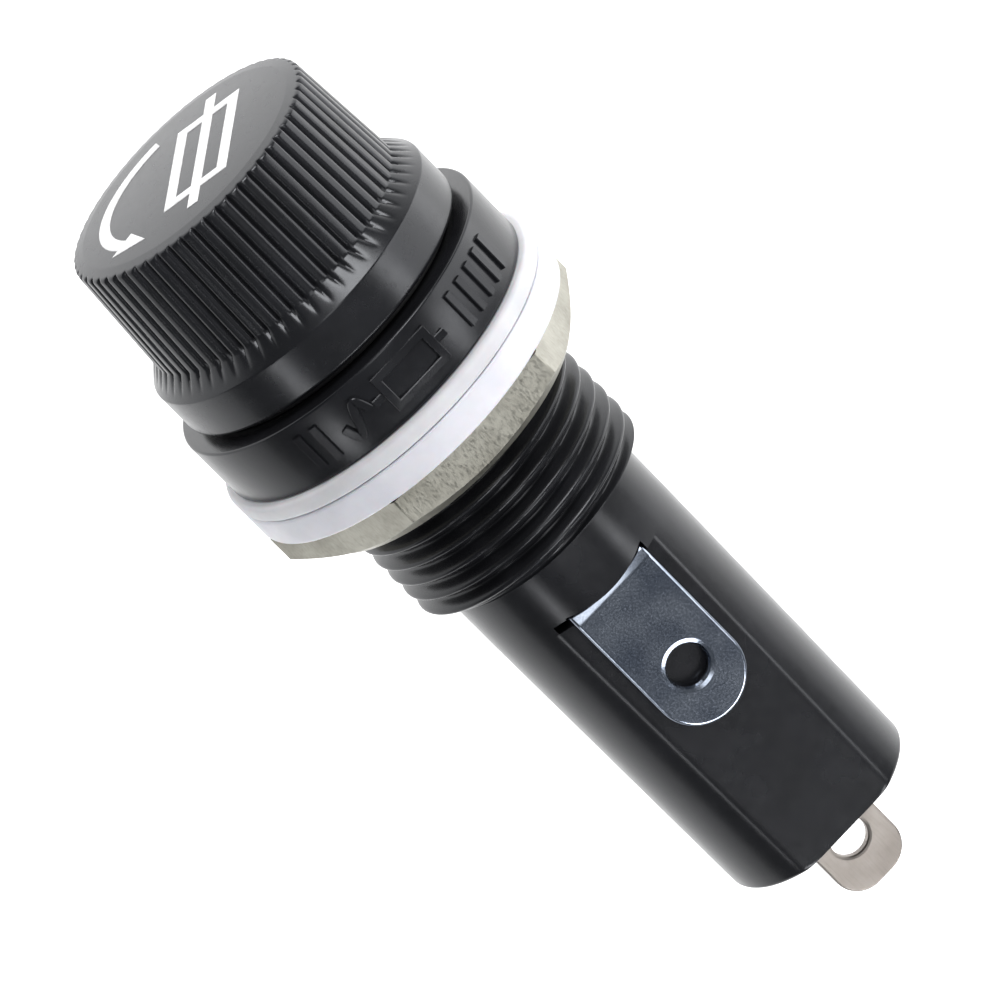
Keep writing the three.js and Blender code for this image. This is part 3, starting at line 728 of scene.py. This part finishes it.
class Look:
    """Builds one node material: principled shader plus noise that varies colour, gloss and bump."""

    def __init__(self, name, colour, roughness, metallic=0.0):
        self.material = bpy.data.materials.new(name)
        self.material.use_nodes = True
        self.tree = self.material.node_tree
        self.shader = self.tree.nodes["Principled BSDF"]
        self.set(**{"Base Color": (*colour, 1), "Roughness": roughness, "Metallic": metallic})
        self.coordinates = self.tree.nodes.new("ShaderNodeTexCoord").outputs["Object"]
        self.normal = None

    def set(self, **sockets):
        for name, value in sockets.items():
            self.shader.inputs[name].default_value = value

    def node(self, kind, **settings):
        made = self.tree.nodes.new(kind)
        for name, value in settings.items():
            setattr(made, name, value)
        return made

    def link(self, source, target):
        self.tree.links.new(source, target)

    def noise(self, size, stretch=(1, 1, 1), detail=3, seed=0.0):
        """Noise whose grains are about size millimetres, longer where stretch is above 1."""
        mapping = self.node("ShaderNodeMapping")
        mapping.inputs["Scale"].default_value = [1 / (size * MM * s) for s in stretch]
        mapping.inputs["Location"].default_value = (seed, seed * 0.7, seed * 1.3)
        texture = self.node("ShaderNodeTexNoise")
        texture.inputs["Scale"].default_value = 1
        texture.inputs["Detail"].default_value = detail
        self.link(self.coordinates, mapping.inputs["Vector"])
        self.link(mapping.outputs["Vector"], texture.inputs["Vector"])
        return texture.outputs["Fac"]

    def ramp(self, source, stops):
        """Colour or grey ramp through (position, value) stops."""
        ramp = self.node("ShaderNodeValToRGB")
        elements = ramp.color_ramp.elements
        while len(elements) < len(stops):
            elements.new(0.5)
        for element, (position, value) in zip(elements, stops):
            element.position = position
            rgb = value if isinstance(value, tuple) else (value, value, value)
            element.color = (*rgb, 1)
        self.link(source, ramp.inputs["Fac"])
        return ramp.outputs["Color"]

    def tint(self, source, low, high, spread=(0.35, 0.65)):
        """Base colour runs from low to high over the noise."""
        stops = [(spread[0], tuple(low)), (spread[1], tuple(high))]
        self.link(self.ramp(source, stops), self.shader.inputs["Base Color"])

    def gloss(self, source, low, high, spread=(0.35, 0.65)):
        stops = [(spread[0], low), (spread[1], high)]
        self.link(self.ramp(source, stops), self.shader.inputs["Roughness"])

    def bump(self, source, height, strength=1.0):
        """Adds a bump of height millimetres on top of those made before."""
        bump = self.node("ShaderNodeBump")
        bump.inputs["Strength"].default_value = strength
        bump.inputs["Distance"].default_value = height * MM
        self.link(source, bump.inputs["Height"])
        if self.normal is not None:
            self.link(self.normal, bump.inputs["Normal"])
        self.normal = bump.outputs["Normal"]
        self.link(self.normal, self.shader.inputs["Normal"])


def black_moulding(name, shade_of_black, roughness, level):
    """Compression-moulded thermoset: deep black, a soft gloss, faint flow marks and pits."""
    look = Look(name, (shade_of_black,) * 3, roughness)
    look.set(**{"IOR": 1.6, "Specular IOR Level": level, "Specular Tint": (0.94, 0.96, 1.0, 1)})
    flow = look.noise(2.5, detail=4)
    low = (shade_of_black * 0.85, shade_of_black * 0.87, shade_of_black)
    high = (shade_of_black * 1.2, shade_of_black * 1.22, shade_of_black * 1.45)
    look.tint(flow, low, high)
    look.gloss(look.noise(0.5, seed=3, detail=5), roughness - 0.015, roughness + 0.015)
    look.bump(look.noise(0.5, seed=5, detail=2), 0.0006)
    look.bump(look.noise(0.12, seed=7, detail=2), 0.0012)
    return look.material


def white_soft(name, low, high, roughness, grain):
    """White nylon or soft rubber: a satin skin that lets a little light in."""
    look = Look(name, high, roughness)
    look.set(**{"Subsurface Weight": 0.15, "Subsurface Scale": 0.0006})
    look.tint(look.noise(1.6, detail=4), low, high)
    look.gloss(look.noise(0.7, seed=2), roughness - 0.08, roughness + 0.08)
    look.bump(look.noise(grain, seed=4), 0.003)
    return look.material


def black_rubber():
    look = Look("black_rubber", (0.012, 0.012, 0.013), 0.65)
    look.tint(look.noise(1.2), (0.008, 0.008, 0.008), (0.02, 0.02, 0.021))
    look.bump(look.noise(0.2, seed=2), 0.006)
    return look.material


def white_ink():
    look = Look("white_ink", (0.9, 0.9, 0.9), 0.4)
    look.tint(look.noise(0.5, detail=5), (0.8, 0.8, 0.8), (0.93, 0.93, 0.93))
    look.bump(look.noise(0.15, seed=2), 0.003)
    return look.material


def plated_metal(name, low, high, roughness, streaks, streak_height, grain=0.25):
    """Plated sheet or bar: slight colour drift, brushed streaks, and a fine satin grain."""
    look = Look(name, high, roughness, 1.0)
    look.tint(look.noise(1.8, detail=5), low, high, (0.3, 0.7))
    brushed = look.noise(0.09, stretch=streaks, detail=4, seed=3)
    look.gloss(brushed, roughness * 0.7, roughness * 1.4, (0.3, 0.7))
    look.bump(brushed, streak_height)
    look.bump(look.noise(grain, seed=6, detail=3), streak_height * 0.8)
    return look.material


def clear_glass():
    look = Look("fuse_glass", (0.96, 0.99, 0.98), 0.03)
    look.set(**{"Transmission Weight": 1.0, "IOR": 1.5})
    look.bump(look.noise(3.0, stretch=(1, 6, 1)), 0.01, 0.4)
    return look.material


def dress(obj, material):
    """Gives obj one material on every face."""
    obj.data.materials.clear()
    obj.data.materials.append(material)
    for polygon in obj.data.polygons:
        polygon.material_index = 0


def make_materials():
    """Every slot's material. A metal has low and high colour, roughness, streaks, their height."""
    lengthwise, round_axis, even = (1, 14, 1), (12, 1, 12), (1, 1, 1)
    made = {
        "black_moulding": black_moulding("black_moulding", 0.01, 0.25, 0.34),
        "black_cap": black_moulding("black_cap", 0.011, 0.26, 0.4),
        "black_rubber": black_rubber(),
        "white_gasket": white_soft("white_gasket", (0.7, 0.7, 0.73), (0.78, 0.78, 0.81), 0.5, 0.3),
        "white_washer": white_soft("white_washer", (0.78, 0.78, 0.84), (0.85, 0.85, 0.91), 0.42, 0.2),
        "fuse_glass": clear_glass(),
    }
    metals = {
        "zinc_nut": ((0.3, 0.29, 0.25), (0.43, 0.42, 0.37), 0.4, (1, 3, 1), 0.003),
        "tinned_lug": ((0.24, 0.28, 0.36), (0.48, 0.53, 0.62), 0.17, even, 0.0001, 0.9),
        "nickel_lug": ((0.26, 0.235, 0.215), (0.36, 0.33, 0.305), 0.4, lengthwise, 0.001),
        "brass_contacts": ((0.62, 0.45, 0.2), (0.8, 0.62, 0.32), 0.26, round_axis, 0.002),
        "nickel_shell": ((0.58, 0.55, 0.5), (0.74, 0.71, 0.66), 0.24, round_axis, 0.002),
        "spring_steel": ((0.4, 0.4, 0.4), (0.56, 0.56, 0.56), 0.3, even, 0.001),
        "solder": ((0.42, 0.42, 0.43), (0.6, 0.6, 0.6), 0.42, even, 0.006),
        "fuse_end_caps": ((0.6, 0.58, 0.53), (0.76, 0.74, 0.69), 0.22, round_axis, 0.0015),
        "fuse_wire": ((0.5, 0.48, 0.44), (0.66, 0.64, 0.6), 0.35, lengthwise, 0.001),
    }
    for name, settings in metals.items():
        made[name] = plated_metal(name, *settings)
    return made


# ---- Assembly -------------------------------------------------------------------------------


def place_piece(obj, body, slot, replaced=(), material=None):
    dress(obj, material or materials[slot])
    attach(obj, body)
    if replaced:
        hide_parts(*replaced)


def place_spring(spring):
    """The spring, which lies between the plate that it presses and the cap."""
    dress(spring, materials["spring_steel"])
    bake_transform(spring)
    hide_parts("cap_spring")


def build_pieces():
    gasket = washer("panel_gasket_skin", GASKET_LOW, GASKET_HIGH, WASHER_BORE, 0.22)
    spacer = washer("spacer_washer_skin", SPACER_LOW, SPACER_HIGH, WASHER_BORE, 0.14)
    place_piece(body_moulding(), "holder", "black_moulding", ["body_moulding"])
    place_piece(flange_relief(), "holder", "black_moulding")
    place_piece(side_terminal(), "holder", "tinned_lug", ["side_terminal"])
    place_piece(end_terminal(), "holder", "nickel_lug", ["end_terminal"])
    place_piece(contact_sleeve(), "holder", "brass_contacts", ["contact_sleeve"])
    place_piece(gasket, "washers", "white_gasket", ["panel_gasket"])
    place_piece(spacer, "washers", "white_washer", ["spacer_washer"])
    place_piece(hex_nut(), "nut", "zinc_nut", ["hex_nut"])
    place_piece(cap_knob(), "cap", "black_cap", ["cap_knob"])
    place_piece(face_print(), "cap", "black_cap", material=white_ink())
    place_piece(cap_seal(), "cap", "black_rubber", ["cap_seal"])
    place_piece(cap_thread_shell(), "cap", "nickel_shell", ["cap_thread_shell"])
    place_piece(spring_plate(), "spring_seat", "brass_contacts", ["spring_plate"])
    place_spring(cap_spring())
    place_piece(fuse_glass(), "fuse", "fuse_glass", ["fuse_glass_tube"])
    place_piece(fuse_wire(), "fuse", "fuse_wire", ["fuse_element"])
    front_cap = fuse_cap("fuse_cap_front_skin", "fuse_cap_front", True)
    rear_cap = fuse_cap("fuse_cap_rear_skin", "fuse_cap_rear", False)
    place_piece(front_cap, "fuse", "fuse_end_caps", ["fuse_cap_front"])
    place_piece(rear_cap, "fuse", "fuse_end_caps", ["fuse_cap_rear"])


def dress_frame():
    """Materials of the CAD nodes that stay as they are."""
    kept = {
        "sleeve_solder": "solder",
        "end_contact_cup": "brass_contacts",
        "fuse_solder_front": "solder",
        "fuse_solder_rear": "solder",
    }
    for node, slot in kept.items():
        dress(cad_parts[node], materials[slot])


# ---- Studio ---------------------------------------------------------------------------------


def add_floor():
    """A wide, even, pale floor, bright all over as a light table is."""
    floor = bpy.data.objects.new("floor", bpy.data.meshes.new("floor"))
    half, level = 4000 * MM, -120 * MM
    corners = [(-half, -half, level), (half, -half, level), (half, half, level), (-half, half, level)]
    floor.data.from_pydata(corners, [], [(0, 1, 2, 3)])
    bpy.context.scene.collection.objects.link(floor)
    look = Look("pale_floor", (0.85, 0.85, 0.85), 0.9)
    look.set(**{"Emission Color": (1, 1, 1, 1), "Emission Strength": 0.8})
    dress(floor, look.material)


def add_world():
    """Dim grey surroundings for the object, and a pale backdrop behind it."""
    world = bpy.data.worlds.new("studio")
    bpy.context.scene.world = world
    world.use_nodes = True
    nodes, links = world.node_tree.nodes, world.node_tree.links
    nodes.clear()
    lighting, backdrop = nodes.new("ShaderNodeBackground"), nodes.new("ShaderNodeBackground")
    lighting.inputs["Color"].default_value = (0.9, 0.95, 1.0, 1)
    lighting.inputs["Strength"].default_value = 0.12
    backdrop.inputs["Strength"].default_value = 1.0
    path, mix = nodes.new("ShaderNodeLightPath"), nodes.new("ShaderNodeMixShader")
    output = nodes.new("ShaderNodeOutputWorld")
    links.new(path.outputs["Is Camera Ray"], mix.inputs["Fac"])
    links.new(lighting.outputs["Background"], mix.inputs[1])
    links.new(backdrop.outputs["Background"], mix.inputs[2])
    links.new(mix.outputs["Shader"], output.inputs["Surface"])


def add_softbox(name, place, target, size, power):
    """Area light at place, aimed at target; all in millimetres, power in watts."""
    light = bpy.data.lights.new(name, "AREA")
    light.shape = "RECTANGLE"
    light.size, light.size_y = size[0] * MM, size[1] * MM
    light.energy = power
    lamp = bpy.data.objects.new(name, light)
    bpy.context.scene.collection.objects.link(lamp)
    lamp.location = Vector(place) * MM
    aim = Vector(target) - Vector(place)
    lamp.rotation_mode = "QUATERNION"
    lamp.rotation_quaternion = aim.to_track_quat("-Z", "Y")


def add_camera():
    """Long lens from above the cap end; the holder's axis runs down to the right at 45 degrees."""
    tilt, roll, axis_slope = math.radians(22.0), math.radians(3.5), math.radians(45.2)
    near = Vector((math.sin(roll), 0, math.cos(roll)))
    across = Vector((-math.cos(roll), 0, math.sin(roll)))
    along = Vector((0, math.cos(tilt), 0)) + math.sin(tilt) * near
    back = Vector((0, -math.sin(tilt), 0)) + math.cos(tilt) * near
    right = math.cos(axis_slope) * along + math.sin(axis_slope) * across
    up = math.cos(axis_slope) * across - math.sin(axis_slope) * along
    data = bpy.data.cameras.new("camera")
    data.sensor_width, data.lens = 36, 277.2
    camera = bpy.data.objects.new("camera", data)
    bpy.context.scene.collection.objects.link(camera)
    origin_along, origin_across, distance = -8.386, 0.455, 339.86
    place = back * distance - along * origin_along - across * origin_across
    turn = Matrix((right, up, back)).transposed().to_4x4()
    camera.matrix_world = Matrix.Translation(place * MM) @ turn
    data.clip_start, data.clip_end = 0.01, 50
    bpy.context.scene.camera = camera


materials = make_materials()
build_pieces()
dress_frame()
add_floor()
add_world()
add_softbox("side_box", (-330, 20, 60), (0, 10, 0), (260, 420), 0.75)
add_softbox("front_box", (-120, -320, 160), (0, 0, 0), (160, 160), 0.7)
add_softbox("rear_box", (0, 290, 270), (0, 8, 0), (240, 110), 0.85)
add_softbox("top_box", (0, -184, 422), (0, 8, 0), (130, 520), 0.42)
add_softbox("right_spot", (286, 150, 236), (0, 12, 0), (70, 70), 0.1)
add_softbox("left_spot", (-255, 150, 269), (0, 12, 0), (90, 90), 0.14)
add_camera()
bpy.context.scene.view_settings.view_transform = "Standard"
